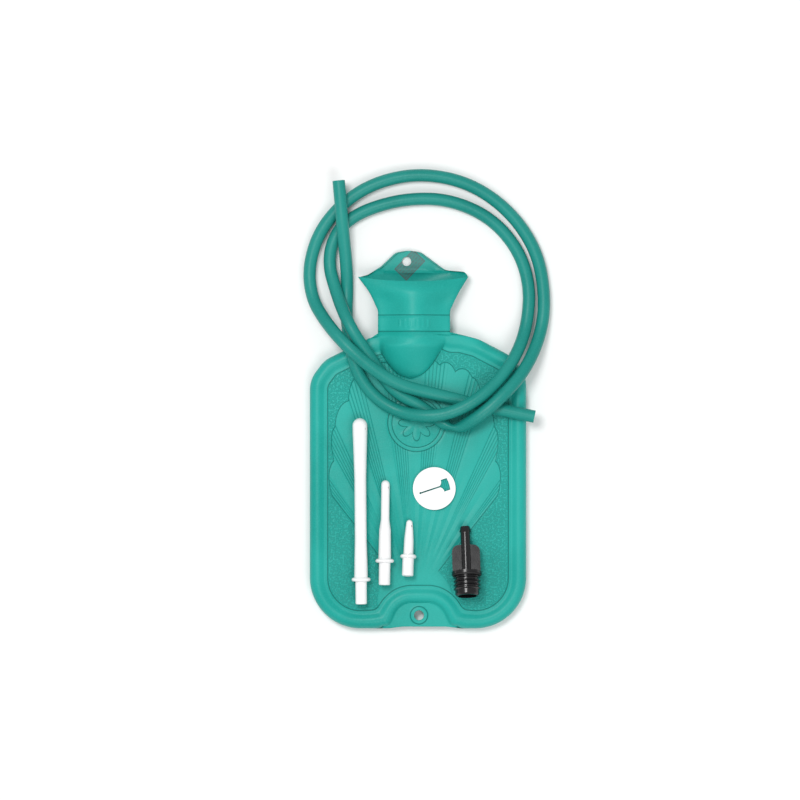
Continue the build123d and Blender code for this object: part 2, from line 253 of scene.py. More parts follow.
# %% [markdown]
# ## The hose
#
# The hose is one length of soft rubber tube. It starts on top of its own loops, runs two and a
# half times round the neck, folds sharply once and ends over the bag's edge. Its middle line is
# a smooth NURBS curve through the route of the design model; the tube is then wrapped round points
# read from that curve. It could be a curve with a bevel, but then it would have no hollow ends,
# and it couldn't flatten where it folds.

# %% The middle line of the hose
HOSE_D = 11.5
HOSE_BORE_D = 8.0
hose_route = [
    (-73, 237, 18.5), (-71, 215, 19), (-69, 190, 18.3), (-66, 162, 10), (-65, 137, 6.2),
    (-66, 115, 10.2), (-64, 96, 18.8), (-61, 78, 24), (-54, 56, 22.6), (-38, 36, 22.2),
    (-17, 24, 23.5), (6, 20, 34.3), (30, 23, 35.3), (54, 35, 35), (76, 55, 28), (92, 79, 17.5),
    (101, 107, 6.8), (103, 141, 6.2), (92, 175, 6.2), (66, 204, 6.2), (29, 220, 6.2),
    (-9, 221, 6.2), (-45, 212, 6.2), (-69, 198, 6.2), (-80, 179, 6.2), (-82, 158, 6.2),
    (-76, 137, 12.5), (-69, 117, 24), (-60, 98, 31.5), (-48, 80, 27.3), (-36, 62, 22.2),
    (-21, 42, 22), (6, 28, 22), (32, 6, 22), (53, 18, 34), (76, 37, 35.5), (99, 63, 24),
    (114, 98, 7.5), (117, 133, 6.2), (109, 174, 6.2), (84, 210, 6.2), (48, 235, 6.2),
    (6, 244, 6.2), (-33, 238, 6.2), (-65, 221, 6.2), (-90, 193, 6.2), (-101, 159, 6.2),
    (-98, 129, 9.5), (-85, 107, 23), (-68, 87, 36), (-45, 66, 36.2), (-20, 50, 34), (6, 43, 26),
    (31, 37, 22), (57, 30, 22.3), (83, 25, 22), (107, 20, 22.2),
]
FOLD_NEAR = (32, 6)
FOLD_REACH = 6.5


SPAN_POINTS = 14


def nurbs_line(name, route):
    """Points in millimetres along a smooth NURBS curve with the route as its control points."""
    data = bpy.data.curves.new(name, "CURVE")
    data.dimensions = "3D"
    spline = data.splines.new("NURBS")
    spline.points.add(len(route) - 1)
    for point, place in zip(spline.points, route):
        point.co = (*(c * MM for c in place), 1.0)
    spline.order_u = 3
    spline.use_endpoint_u = True
    spline.resolution_u = SPAN_POINTS
    carrier = bpy.data.objects.new(name, data)
    bpy.context.scene.collection.objects.link(carrier)
    mesh = bpy.data.meshes.new_from_object(carrier)
    line = np.array([v.co for v in mesh.vertices]) / MM
    bpy.data.objects.remove(carrier)
    return line


hose_line = nurbs_line("hose_line", hose_route)


# %% [markdown]
# The wall of the tube is a skin outside, a skin inside and a ring at each cut end. Where rubber
# tube folds, it goes flat: thin across the fold and taller square to it. The section is squashed
# that way near the fold, and nowhere else.

# %% The tube round the line
def tube(name, line, outer_r, inner_r, fold_at, sides=28):
    tangent = np.gradient(line, axis=0)
    tangent /= np.linalg.norm(tangent, axis=1)[:, None]
    side = np.cross(tangent, (0.0, 0.0, 1.0))
    side /= np.linalg.norm(side, axis=1)[:, None]
    up = np.cross(side, tangent)
    run = np.r_[0, np.cumsum(np.linalg.norm(np.diff(line, axis=0), axis=1))]
    fold_index = int(np.argmin(np.linalg.norm(line[:, :2] - np.array(fold_at), axis=1)))
    nearness = np.exp(-(((run - run[fold_index]) / FOLD_REACH) ** 2))
    across, along_up = 1 - 0.42 * nearness, 1 + 0.10 * nearness
    turn = np.linspace(0, 2 * math.pi, sides, endpoint=False)
    points, faces = [], []
    for radius in (outer_r, inner_r):
        ring = (
            line[:, None]
            + radius * across[:, None, None] * np.cos(turn)[None, :, None] * side[:, None]
            + radius * along_up[:, None, None] * np.sin(turn)[None, :, None] * up[:, None]
        )
        points.append(ring.reshape(-1, 3))
    count = len(line)
    inside = count * sides
    for i in range(count - 1):
        for j in range(sides):
            a, b = i * sides + j, i * sides + (j + 1) % sides
            faces.append((a, b, b + sides, a + sides))
            faces.append((inside + b, inside + a, inside + a + sides, inside + b + sides))
    for i, flip in ((0, False), (count - 1, True)):
        for j in range(sides):
            a, b = i * sides + j, i * sides + (j + 1) % sides
            rim = (b, a, inside + a, inside + b)
            faces.append(rim[::-1] if flip else rim)
    return mesh_piece(name, np.vstack(points), faces), inside


hose, outer_count = tube("hose_tube", hose_line, HOSE_D / 2, HOSE_BORE_D / 2, FOLD_NEAR)
hose.data.materials.append(hose_rubber)
hose.data.materials.append(bore_painted_shade)
# The inner skin wears the darker bore rubber, painted shade inside the tube.
for face in hose.data.polygons:
    if all(v >= outer_count for v in face.vertices):
        face.material_index = 1
point_outwards(hose)
smooth(hose, 60)
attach(hose, "hose")
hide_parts("hose")
print("hose", len(hose.data.polygons), "faces")

# %% [markdown]
# ## The outline of the bag
#
# The bag is two moulded halves with a seam all round their edge. Every later shape depends on
# that edge: how far a point is from it says whether the point is on the thick rolled rim, in
# the border groove or on the thin patterned panel. So the outline comes first, as corners with
# radii, turned into a fine chain of points.


# %% Corners with radii become a chain of points
def rounded_chain(corners, step=1.2):
    """Points along an open chain of (x, y, radius) corners."""
    chain = [np.array(corners[0][:2], float)]
    for before, here, after in zip(corners, corners[1:], corners[2:]):
        corner = np.array(here[:2], float)
        back = np.array(before[:2]) - corner
        ahead = np.array(after[:2]) - corner
        back, ahead = back / np.linalg.norm(back), ahead / np.linalg.norm(ahead)
        half = math.acos(float(np.clip(back @ ahead, -1, 1))) / 2
        reach = here[2] / math.tan(half)
        centre = corner + (back + ahead) / np.linalg.norm(back + ahead) * here[2] / math.sin(half)
        start, end = corner + back * reach - centre, corner + ahead * reach - centre
        sweep = math.acos(float(np.clip(start @ end / (start @ start), -1, 1)))
        turn = math.copysign(1, start[0] * end[1] - start[1] * end[0])
        count = max(3, int(here[2] * sweep / step))
        for part in np.linspace(0, sweep, count):
            c, s = math.cos(part), math.sin(part) * turn
            turned = [c * start[0] - s * start[1], s * start[0] + c * start[1]]
            chain.append(centre + np.array(turned))
    chain.append(np.array(corners[-1][:2], float))
    return np.array(chain)


def inside_distance(x, y, chain):
    """Distance from each point to the chain, in millimetres."""
    best = np.full(x.shape, 1e9)
    for a, b in zip(chain[:-1], chain[1:]):
        along = b - a
        length = float(along @ along)
        if length < 1e-9:
            continue
        part = np.clip(((x - a[0]) * along[0] + (y - a[1]) * along[1]) / length, 0, 1)
        off_x, off_y = x - a[0] - part * along[0], y - a[1] - part * along[1]
        best = np.minimum(best, off_x**2 + off_y**2)
    return np.sqrt(best)


BOTTOM_Y = -175.0
NECK_X = -3.7
NECK_W = 33.1
LIP_CORNER_Y, LIP_MIDDLE_Y = 148.6, 144.5
EYELET_AT, EYELET_R = (0.9, -162.8), 4.5
HANG_HOLE_AT, HANG_HOLE_R = (-10.6, 163.0), 4.25
right_side = rounded_chain(
    [(0, BOTTOM_Y, 0), (99.6, BOTTOM_Y, 47), (99.6, 56, 28), (87, 75, 26), (56, 91.2, 30),
     (40, 95.4, 9), (29.6, 95.6, 2.5), (29.4, 117.5, 7), (37.6, 134.5, 60), (46.4, LIP_CORNER_Y, 0)])
left_side = rounded_chain(
    [(0, BOTTOM_Y, 0), (-99.6, BOTTOM_Y, 47), (-99.6, 54, 28), (-86, 72, 26), (-52, 88.6, 60),
     (-45, 92.4, 8), (-37, 93, 2.5), (-36.8, 117.5, 7), (-44.6, 134.5, 60), (-55.4, LIP_CORNER_Y, 0)])
notch = rounded_chain(
    [(-46, BOTTOM_Y, 0), (-26.5, BOTTOM_Y, 7), (-17, -151.6, 17), (20, -151.6, 17), (30.5, BOTTOM_Y, 7),
     (50, BOTTOM_Y, 0)])[1:-1]
TAB_TOP_Y = 172.7
back_right = rounded_chain([(46.4, 148.6, 0), (42.8, 153.4, 4), (25.5, 154.6, 12), (2.5, 171.6, 11),
                            (-5.5, TAB_TOP_Y, 8), (-6.5, TAB_TOP_Y, 0)])
back_left = rounded_chain([(-55.4, 148.6, 0), (-46.5, 150.2, 8), (-34, 158.4, 12), (-20.5, 171.2, 9),
                           (-12, TAB_TOP_Y, 8), (-11, TAB_TOP_Y, 0)])


def edge_x(y, chain):
    """Where a side of the outline is at height y: past the straight bottom, the chain only rises."""
    rising = np.maximum.accumulate(chain[1:, 1] + np.arange(len(chain) - 1) * 1e-6)
    return np.interp(y, rising, chain[1:, 0])


print("outline", len(right_side), "points a side; widest", right_side[:, 0].max() * 2, "mm")

# %% [markdown]
# ## How high the moulding is at every point
#
# A bag like this is carved as one height map: a rolled rim, a groove, a panel a little lower with
# its pattern, then a broad tongue that climbs into the neck. Writing the height as a formula keeps
# the two halves closed on the same seam. A chain of extrusions and bevels would show steps where
# the real moulding flows, which is why these two pieces are made as a grid with a height.


# %% Heights of the bag
def ease(value, low, high):
    part = np.clip((value - low) / (high - low), 0, 1)
    return part * part * (3 - 2 * part)


ROLL_TOP, PANEL_BASE = 8.0, 6.1
BORDER_AT = 16.4
RAY_FROM = (-3.0, -150.0)
MEDAL_AT, MEDAL_R, MEDAL_INNER_R = (-1.4, 14.3), 26.4, 22.6
FAN_HALF_ANGLE, FLUTE_TURN, FINE_TURN = 38, 10.6, 1.06
NECK_FROM_Y, NECK_FULL_Y = 94.0, 97.0
TONGUE_TIP_Y, NECK_FOOT_Y = 54.0, 94.0


def funnel_half(y):
    """Half the height of the neck, which flattens towards the mouth of the funnel."""
    return 17.2 - 5.2 * ease(y, 133, 153)


def seam_z(y):
    low = 8 + 9.8 * ease(y, 82, 103)
    high = funnel_half(y) + 0.6
    plate = 2.2
    z = np.where(y < 118, low, high)
    return z + (plate - z) * ease(y, 149.5, 160)


def fan_gap(x, y):
    """Millimetres into the pebbled field: above the scalloped fan edge, and at both lower sides."""
    dx, dy = x - RAY_FROM[0], y - RAY_FROM[1]
    reach = np.hypot(dx, dy)
    angle = np.abs(np.degrees(np.arctan2(dx, dy)))
    cusps = np.array([0, 6, 10, 14.3, 18.2, 24.5, 29.8, 38.0])
    heights = np.array([219, 218, 214, 212, 193.7, 175.9, 148.6, 122.7])
    edge = np.interp(angle, cusps, heights)
    slot = np.clip(np.searchsorted(cusps, angle, side="right") - 1, 0, len(cusps) - 2)
    along = (angle - cusps[slot]) / (cusps[slot + 1] - cusps[slot])
    edge = edge + 5.5 * np.sin(np.pi * np.clip(along, 0, 1)) ** 0.7
    past_fan = np.radians(np.clip(angle - FAN_HALF_ANGLE, -60, 60))
    side_gap = np.minimum(reach * np.sin(past_fan), reach - 34)
    return np.maximum(reach - edge, side_gap)


def pebble_mask(x, y):
    return ease(fan_gap(x, y), -0.8, 0.8)


def ray_waves(x, y):
    """Broad flutes and bundles of fine grooves that fan out from the bottom eyelet."""
    dx, dy = x - RAY_FROM[0], y - RAY_FROM[1]
    reach, angle = np.hypot(dx, dy), np.degrees(np.arctan2(dx, dy))
    fan = ease(FAN_HALF_ANGLE - np.abs(angle), 0, 1.0) * ease(reach, 22, 50)
    flute = 0.5 + 0.5 * np.cos(2 * np.pi * angle / FLUTE_TURN)
    between = np.cos(2 * np.pi * (angle - FLUTE_TURN / 2) / FLUTE_TURN)
    bundle = ease(between, -0.25, 0.15) * ease(reach, 78, 112)
    fine = 0.5 + 0.5 * np.cos(2 * np.pi * angle / FINE_TURN)
    return fan * (0.32 * flute - 0.26 * bundle * fine)


def panel_relief(x, y):
    """Everything moulded into the front panel, in millimetres above its base."""
    pebbled = pebble_mask(x, y)
    near_medal = np.hypot(x - MEDAL_AT[0], y - MEDAL_AT[1])
    out_of_medal = ease(near_medal, MEDAL_R - 0.4, MEDAL_R + 0.4)
    relief = out_of_medal * (0.28 * pebbled + (1 - pebbled) * ray_waves(x, y))
    edge_groove = np.exp(-(((pebbled - 0.5) / 0.3) ** 2)) * out_of_medal
    relief = relief - 0.30 * edge_groove
    for radius in (MEDAL_R, MEDAL_INNER_R):
        relief = relief - 0.35 * np.exp(-(((near_medal - radius) / 0.7) ** 2))
    turn = np.arctan2(y - MEDAL_AT[1], x - MEDAL_AT[0])
    petal_ring = ease(near_medal, 20, 16) * ease(near_medal, 4, 7)
    petals = petal_ring * ease(np.cos(8 * turn), -0.2, 0.3)
    return relief + 0.3 * petals


def blended_gap(edge_gap, notch_gap):
    """The smaller of two distances, rounded off where they are nearly equal."""
    soft = 2.6
    smaller = np.minimum(edge_gap, notch_gap)
    return np.maximum(smaller - soft * np.log1p(np.exp(-np.abs(edge_gap - notch_gap) / soft)), 0)


def pouch_height(x, y, edge_gap, notch_gap, in_notch, front=True):
    """Height above the seam of the rolled rim and panel."""
    gap = np.where(in_notch, 0.0, blended_gap(edge_gap, notch_gap))
    roll = ROLL_TOP * np.sqrt(np.clip(1 - (1 - np.clip(gap / 7.2, 0, 1)) ** 2, 0, 1))
    down = ease(gap, 7.5, 14.6) * 2.6
    panel = ease(gap, 13.6, BORDER_AT)
    groove = 0.45 * np.exp(-(((gap - BORDER_AT) / 0.75) ** 2))
    inside = panel_relief(x, y) if front else 0.6 * panel_relief(x, y)
    height = (roll - down) * (1 - panel) + (PANEL_BASE + inside) * panel - groove
    web_edge = np.clip((y - BOTTOM_Y) / 2.5, 0, 1)
    web = 2.5 * np.sqrt(np.clip(1 - (1 - web_edge) ** 2, 0, 1))
    web = web + ease(8.0 - np.hypot(x - EYELET_AT[0], y - EYELET_AT[1]), -0.35, 0.35)
    return np.where(in_notch | (notch_gap < 2), np.maximum(height, web), height)


def neck_height(x, y, side):
    """Height above the seam of the neck and funnel; side is -1 at one edge and 1 at the other."""
    half = funnel_half(y)
    spread = 30 + 22 * ease(y, 122, 150)
    flat = 5.0 + 4.5 * ease(y, 122, 150)
    hump = np.cos(np.pi / 2 * np.clip(np.abs(x - NECK_X) / spread, 0, 1)) ** 2
    height = flat * np.sqrt(np.clip(1 - side**2, 0, 1)) + (half - flat) * hump
    rib = np.exp(-(((y - 99.3) / 0.85) ** 2)) + np.exp(-(((y - 112.4) / 0.85) ** 2))
    return height + 0.75 * rib * ease(1 - np.abs(side), 0, 0.03)


# %% [markdown]
# The tongue is a U-shaped raised field: its tip is low on the panel, it widens quickly and climbs
# into the neck. Its rim is a crisp little step that catches the light. Between the two ribs of
# the neck the real moulding has raised marks, and plain bars stand for them here.


# %% The tongue and the marks on the neck
def tongue_half(y):
    return NECK_W * np.clip((y - TONGUE_TIP_Y - 1.9) / 38.1, 0, 1) ** 0.46


def tongue_x(y):
    return NECK_X - 3.4 * ease(y, 96, 76)


def front_height(x, y, side, pouch):
    """Height of the front half above the seam plane."""
    width = np.maximum(tongue_half(y), 0.01)
    offset = np.abs(x - tongue_x(y))
    in_tongue = ease(width - offset, -0.5, 0.9) * (y > TONGUE_TIP_Y)
    climb = np.clip((y - TONGUE_TIP_Y - 2) / (NECK_FOOT_Y - TONGUE_TIP_Y), 0, 1)
    neck = neck_height(x, np.maximum(y, NECK_FROM_Y), side)
    crown = np.sqrt(np.clip(1 - (offset / np.maximum(width, 1)) ** 2, 0, 1)) ** 1.5
    low = 7.2 - (seam_z(y) - 8)
    rise = 19.4 * (0.42 * climb**0.62 + 0.58 * ease(climb, 0.0, 1.05))
    tongue = np.maximum(low, 0) + rise * crown
    tongue = tongue + (neck - tongue) * ease(y, 84, 97)
    pouch = pouch + (neck - pouch) * ease(y, 80, 98)
    height = pouch + (np.maximum(tongue, pouch) - pouch) * in_tongue
    return np.where(y > NECK_FULL_Y, neck, height)


def neck_marks(x, y):
    """Plain raised bars between the two ribs of the neck."""
    across = np.abs(x - NECK_X)
    band = ease(3.9 - np.abs(y - 105.8), 0, 0.9) * ease(16.0 - across, 0, 1)
    bars = ease(np.cos(2 * np.pi * (x - NECK_X) / 4.5), -0.15, 0.35)
    return 0.4 * band * bars


# %% [markdown]
# ## From heights to a closed shell
#
# A shell needs an outside, an inside and an edge between them. The outside is a fine grid and the
# inside a coarser one, because only a little of it shows in the mouth. Every fourth point of the
# outer rim meets a point of the inner rim, so the strip between them closes without gaps.


# %% The grid of one half
def spread_line(count, crowd):
    """Numbers from -1 to 1, closer together near both ends."""
    even = np.linspace(-1, 1, count)
    return (1 - crowd) * even + crowd * np.sin(even * np.pi / 2)


def bag_grid(columns, row_y, right, left, lip_bow):
    """x, y and side value of every point of a half's outer skin."""
    side = np.broadcast_to(spread_line(columns, 0.62), (len(row_y), columns))
    edge_y = row_y + lip_bow * ease(row_y, 122, LIP_MIDDLE_Y)
    right_x, left_x = edge_x(edge_y, right)[:, None], edge_x(edge_y, left)[:, None]
    x = (right_x + left_x) / 2 + side * (right_x - left_x) / 2
    bow = lip_bow * ease(row_y, 122, LIP_MIDDLE_Y)[:, None] * np.abs(side) ** 2.2
    y = row_y[:, None] + bow
    bite = 1.7 * ease(x, -30, -12) * ease(x, 42, 24) * np.exp(-(y - BOTTOM_Y) / 6)
    return x, y + bite, side


def shell_faces(rows, columns, step):
    """Faces of a closed shell: outer grid, inner grid of every step-th point, and the rim."""
    faces = []
    for i in range(rows - 1):
        for j in range(columns - 1):
            a = i * columns + j
            faces.append((a, a + 1, a + columns + 1, a + columns))
    base = rows * columns
    few_rows, few = (rows - 1) // step + 1, (columns - 1) // step + 1
    for i in range(few_rows - 1):
        for j in range(few - 1):
            a = base + i * few + j
            faces.append((a, a + few, a + few + 1, a + 1))

    def outer_rim():
        yield from ((0, j) for j in range(columns - 1))
        yield from ((i, columns - 1) for i in range(rows - 1))
        yield from ((rows - 1, j) for j in range(columns - 1, 0, -1))
        yield from ((i, 0) for i in range(rows - 1, 0, -1))

    rim = list(outer_rim())
    nearest = [base + round(i / step) * few + round(j / step) for i, j in rim]
    for k, (i, j) in enumerate(rim):
        after = rim[(k + 1) % len(rim)]
        a, b = i * columns + j, after[0] * columns + after[1]
        c, d = nearest[(k + 1) % len(rim)], nearest[k]
        faces.append((b, a, d) if c == d else (b, a, d, c))
    return faces


def cut_round_hole(piece, place, radius, low, high):
    """A drilled hole: a cylinder taken away with a Boolean modifier."""
    deselect_all()
    bpy.ops.mesh.primitive_cylinder_add(vertices=64, radius=radius * MM, depth=(high - low) * MM,
                                        location=(place[0] * MM, place[1] * MM, (low + high) / 2 * MM))
    drill = bpy.context.active_object
    bore = piece.modifiers.new("hole", "BOOLEAN")
    bore.object, bore.operation, bore.solver = drill, "DIFFERENCE", "EXACT"
    only(piece)
    bpy.ops.object.modifier_apply(modifier="hole")
    bpy.data.objects.remove(drill)


def set_attribute(piece, name, values):
    layer = piece.data.attributes.new(name, "FLOAT", "POINT")
    layer.data.foreach_set("value", np.asarray(values, np.float32))


STEP = 4
WALL = 2.3
BUSHING_R = 14.65
FAR = 99.0


def inner_skin(x, y, side, z, seam, plate):
    """The inside: the outside moved in by the wall, with a round seat for the brass bushing."""
    x, y, side, z = (v[::STEP, ::STEP] for v in (x, y, side, z))
    middle = (x[:, :1] + x[:, -1:]) / 2
    half = (x[:, -1:] - x[:, :1]) / 2
    shrink = np.maximum(half - WALL, 0.4 * half) / half
    inner_x = middle + (x - middle) * shrink
    inner_y = y + WALL * np.clip(1 - (y - BOTTOM_Y) / 12, 0, 1)
    depth = np.maximum(np.abs(z - seam[::STEP, ::STEP]) - WALL, 0.0)
    seat = np.sqrt(np.clip(BUSHING_R**2 - (inner_x - NECK_X) ** 2, 0, None))
    in_seat = ease(inner_y, 96.5, 98.5) * ease(inner_y, 118.5, 116.5)
    depth = depth + (seat - depth) * in_seat
    rim = np.zeros_like(depth, bool)
    rim[:, 0] = rim[:, -1] = rim[0, :] = True
    depth = np.where(rim, 0.0, depth)
    if plate:
        depth = np.where(inner_y > 150, 0.0, depth)
    return inner_x, inner_y, depth


def bag_half(name, columns, row_y, right, left, lip_bow, front):
    x, y, side = bag_grid(columns, row_y, right, left, lip_bow)
    seam = seam_z(y)
    edge_gap = np.minimum(inside_distance(x, y, right_side), inside_distance(x, y, left_side))
    notch_gap = inside_distance(x, y, notch)
    in_notch = inside_notch(x, y)
    pouch = pouch_height(x, y, edge_gap, notch_gap, in_notch, front)
    if front:
        height = front_height(x, y, side, pouch) + neck_marks(x, y)
    else:
        neck = neck_height(x, np.maximum(y, NECK_FROM_Y), side)
        fade = ease(y, 80, 97)
        height = pouch * (1 - fade) + neck * fade
        plate_depth = np.clip(seam - 0.9, 0, None)
        height = height + (plate_depth - height) * ease(y, 150, 158)
    height[:, 0] = height[:, -1] = 0
    height[0, :] = 0
    z = seam + height if front else np.maximum(seam - height, 0.02)
    inner_x, inner_y, depth = inner_skin(x, y, side, z, seam, plate=not front)
    seam_few = seam_z(inner_y)
    inner_z = seam_few + depth if front else seam_few - depth
    if not front:
        on_plate = ease(inner_y, 146, 156)
        few_z = z[::STEP, ::STEP]
        inner_z = inner_z * (1 - on_plate) + (np.minimum(few_z, 3.0) + WALL) * on_plate
    points = np.vstack([np.stack([v.ravel() for v in (x, y, z)], 1),
                        np.stack([v.ravel() for v in (inner_x, inner_y, inner_z)], 1)])
    piece = mesh_piece(name, points, shell_faces(*x.shape, STEP))
    panel = ease(blended_gap(edge_gap, notch_gap), BORDER_AT, BORDER_AT + 1) * ~in_notch * (y < 92)
    off_medal = ease(np.hypot(x - MEDAL_AT[0], y - MEDAL_AT[1]), MEDAL_R - 0.5, MEDAL_R + 0.5)
    tongue_gap = np.where(y > TONGUE_TIP_Y, tongue_half(y) - np.abs(x - tongue_x(y)), -9.0)
    patterned = panel * off_medal * (1 - ease(tongue_gap, -0.5, 0.9))
    fields = {
        "patterned": patterned,
        "border_gap": blended_gap(edge_gap, notch_gap) + FAR * in_notch,
        "fan_gap": fan_gap(x, y),
        "tongue_gap": tongue_gap + 2 * np.maximum(y - 96, 0),
    }
    for field, values in fields.items():
        outside = 0.0 if field == "patterned" else FAR
        set_attribute(piece, field, np.r_[values.ravel(), np.full(inner_x.size, outside)])
    return piece


def inside_notch(x, y):
    """True between the legs of the notch in the bottom edge."""
    inside = np.zeros(x.shape, bool)
    for a, b in zip(notch[:-1], notch[1:]):
        crosses = (a[0] <= x) != (b[0] <= x)
        slope = (b[1] - a[1]) / (b[0] - a[0]) if b[0] != a[0] else 0.0
        inside ^= crosses & (y < a[1] + slope * (x - a[0]))
    return inside


front_rows = np.r_[BOTTOM_Y + 14 * (np.linspace(0, 1, 25)[:-1]) ** 1.8,
                   np.linspace(BOTTOM_Y + 14, LIP_MIDDLE_Y, 257)]
front_half = bag_half("bag_front", 221, front_rows, right_side, left_side,
                      LIP_CORNER_Y - LIP_MIDDLE_Y, True)
print("front half", len(front_half.data.polygons), "faces")
back_rows = np.r_[BOTTOM_Y + 14 * (np.linspace(0, 1, 17)[:-1]) ** 1.8,
                  np.linspace(BOTTOM_Y + 14, 150, 169)[:-1], np.linspace(150, TAB_TOP_Y, 41)]
back_half = bag_half("bag_back", 181, back_rows, np.vstack([right_side[:-1], back_right]),
                     np.vstack([left_side[:-1], back_left]), 0.0, False)
print("back half", len(back_half.data.polygons), "faces")

# %% [markdown]
# ## The pattern moulded into the bag
#
# The fine lines of the mould are thinner than the grid of the mesh, so they are drawn by the
# material. Each half carries smooth distances as attributes: how far a point is from the edge, from
# the scalloped fan and from the tongue. A distance stays true between two points of the mesh, so a
# thin line cut out of it is crisp. The lines, the fine grooves and the gaps between the pebbles are
# painted darker than the rubber: painted shade for the shade that falls into them. A Bump node
# turns the same lines into grooves.

# %% Moulded rubber
ink = (0.085, 0.118, 0.120)
STAMP_AT, STAMP_COS, STAMP_SIN = (-7.6, 159.6), 0.69, 0.72


def line_at(distance, half_width, soft=0.35):
    """1 on a line and 0 away from it, for a distance in millimetres."""
    return 1 - distance.math("ABSOLUTE").ramp(half_width - soft / 2, half_width + soft / 2)


def moulded_rubber(name, deep, pale, stamped):
    recipe = Recipe(name, Metallic=0.0, IOR=1.45, Specular_IOR_Level=0.30)
    split = recipe.node("ShaderNodeSeparateXYZ", Vector=recipe.place)
    x, y, z = (Wave(recipe.tree, split.outputs[k]) * 1000 for k in range(3))

    def field(attribute):
        made = recipe.node("ShaderNodeAttribute", {"attribute_name": attribute})
        return Wave(recipe.tree, made.outputs["Fac"])

    patterned, fan = field("patterned"), field("fan_gap")
    border, tongue = field("border_gap"), field("tongue_gap")
    off_tongue = 1 - tongue.ramp(-0.3, 0.1)
    dx, dy = x - RAY_FROM[0], y - RAY_FROM[1]
    reach = (dx * dx + dy * dy).math("SQRT")
    turn = dx.math("ARCTAN2", dy) * (180 / math.pi)
    rays = patterned * (1 - fan.ramp(-0.9, -0.3))
    fine_gap = turn.math("PINGPONG", 0.45) * reach * (math.pi / 180)
    bundle = 1 - (turn + 5.3).math("PINGPONG", 5.3).ramp(2.4, 3.0)
    fine = line_at(fine_gap, 0.30, 0.4) * bundle * reach.ramp(74, 118) * rays
    flute = turn.math("PINGPONG", 2.65) * (1 / 2.65)
    broad = flute * reach.ramp(36, 62) * (1 - reach.ramp(92, 140)) * rays
    edge_line = line_at(border - BORDER_AT, 0.36) * off_tongue
    fan_line = line_at(fan, 0.30) * patterned * reach.ramp(34, 37)
    tongue_line = line_at(tongue + 0.5, 0.38) * (1 - y.ramp(77, 83))
    ribs = line_at(y - 98.3, 0.30) + line_at(y - 113.4, 0.30)
    ex, ey = x - EYELET_AT[0], y - EYELET_AT[1]
    eyelet = line_at((ex * ex + ey * ey).math("SQRT") - 8.1, 0.35)
    mx, my = x - MEDAL_AT[0], y - MEDAL_AT[1]
    middle = (mx * mx + my * my).math("SQRT")
    rings = (line_at(middle - MEDAL_R, 0.34) + line_at(middle - MEDAL_INNER_R, 0.3)) * off_tongue
    petal = (my.math("ARCTAN2", mx) * 4).math("COSINE").math("ABSOLUTE") * 7.5 + 9
    rosette = line_at(middle - petal, 0.4, 0.5) * off_tongue
    lines = edge_line + fan_line + tongue_line + rings + rosette + ribs + eyelet
    lines = lines.math("MINIMUM", 1.0)
    worm = recipe.noise(560, 1, 0.4).ramp(0.44, 0.56)
    pebbles = worm * patterned * fan.ramp(0.3, 0.9)
    gaps = (1 - worm) * patterned * fan.ramp(0.3, 0.9)

    cloud = recipe.noise(13, 3).ramp(0.30, 0.72)
    speck = recipe.noise(900, 2).ramp(0.35, 0.75)
    colour = recipe.blend(cloud, deep, pale)
    colour = recipe.blend(speck * 0.3, colour, tuple(min(1.0, c * 1.15 + 0.01) for c in pale))
    # Painted shade: the lines, the fine grooves and the pebble gaps are darkened towards this colour.
    shade = tuple(c * 0.30 for c in deep)
    painted_groove_shade = (lines * 0.62 + fine * 0.28 + gaps * 0.24).math("MINIMUM", 0.8)
    colour = recipe.blend(painted_groove_shade, colour, shade)
    if stamped:
        sx, sy = x - STAMP_AT[0], y - STAMP_AT[1]
        u = sx * STAMP_COS + sy * STAMP_SIN
        v = sx * -STAMP_SIN + sy * STAMP_COS
        off_u, off_v = u.math("ABSOLUTE"), v.math("ABSOLUTE")
        within = (1 - off_u.ramp(12.4, 12.8)) * (1 - off_v.ramp(7.5, 7.9))
        frame_line = 1 - (1 - off_u.ramp(11.6, 12.0)) * (1 - off_v.ramp(6.7, 7.1))
        rules = line_at(v.math("PINGPONG", 1.3), 0.32, 0.3)
        breaks = line_at((u + v.math("ROUND") * 3.1).math("PINGPONG", 2.2), 1.3, 0.3)
        inked = 0.52 + 0.5 * frame_line + 0.5 * rules * breaks
        inked = (within * z.ramp(1.9, 2.4) * inked).math("MINIMUM", 0.92)
        colour = recipe.blend(inked, colour, ink)
    recipe.feed("Base Color", colour)
    recipe.feed("Roughness", 0.37 + 0.10 * cloud + 0.12 * gaps)
    grain = recipe.noise(1500, 2) * 0.05 + recipe.noise(90, 3) * 0.30
    height = grain + broad * 0.75 + pebbles * 0.34 - lines * 0.45 - fine * 0.30
    recipe.bump(height, 0.001, 0.9)
    return recipe.material


deep_teal, pale_teal = (0.005, 0.300, 0.254), (0.014, 0.385, 0.332)
front_rubber = moulded_rubber("front_rubber", deep_teal, pale_teal, False)
back_rubber = moulded_rubber("back_rubber", deep_teal, pale_teal, True)
print("moulded rubber made")

# %% [markdown]
# The two halves get their rubber. The eyelet and the hanging hole are drilled after the shells are
# closed, with a Boolean modifier, because a drill leaves a true round wall that a height map can't
# give. Each half stands for its plain solid in the design model.

# %% Holes, normals and where the halves belong
for half, node in ((front_half, "bag_front_panel"), (back_half, "bag_back_panel")):
    wear(half, front_rubber if half is front_half else back_rubber)
    point_outwards(half)
    cut_round_hole(half, EYELET_AT, EYELET_R, -2, 14)
    if half is back_half:
        cut_round_hole(half, HANG_HOLE_AT, HANG_HOLE_R, -2, 10)
    smooth(half, 50)
    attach(half, "bag")
    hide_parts(node)
    print(node, len(half.data.vertices), "points")

# %% [markdown]
# ## The hard pieces
#
# The nozzles, clamp, stopper, bushing and washers already have their exact shape in the design
# model, so they only need a finish. The white ones are glossy injection-moulded plastic that
# washes out in bright light, the adapter is polished black plastic, and the bushing is brass.


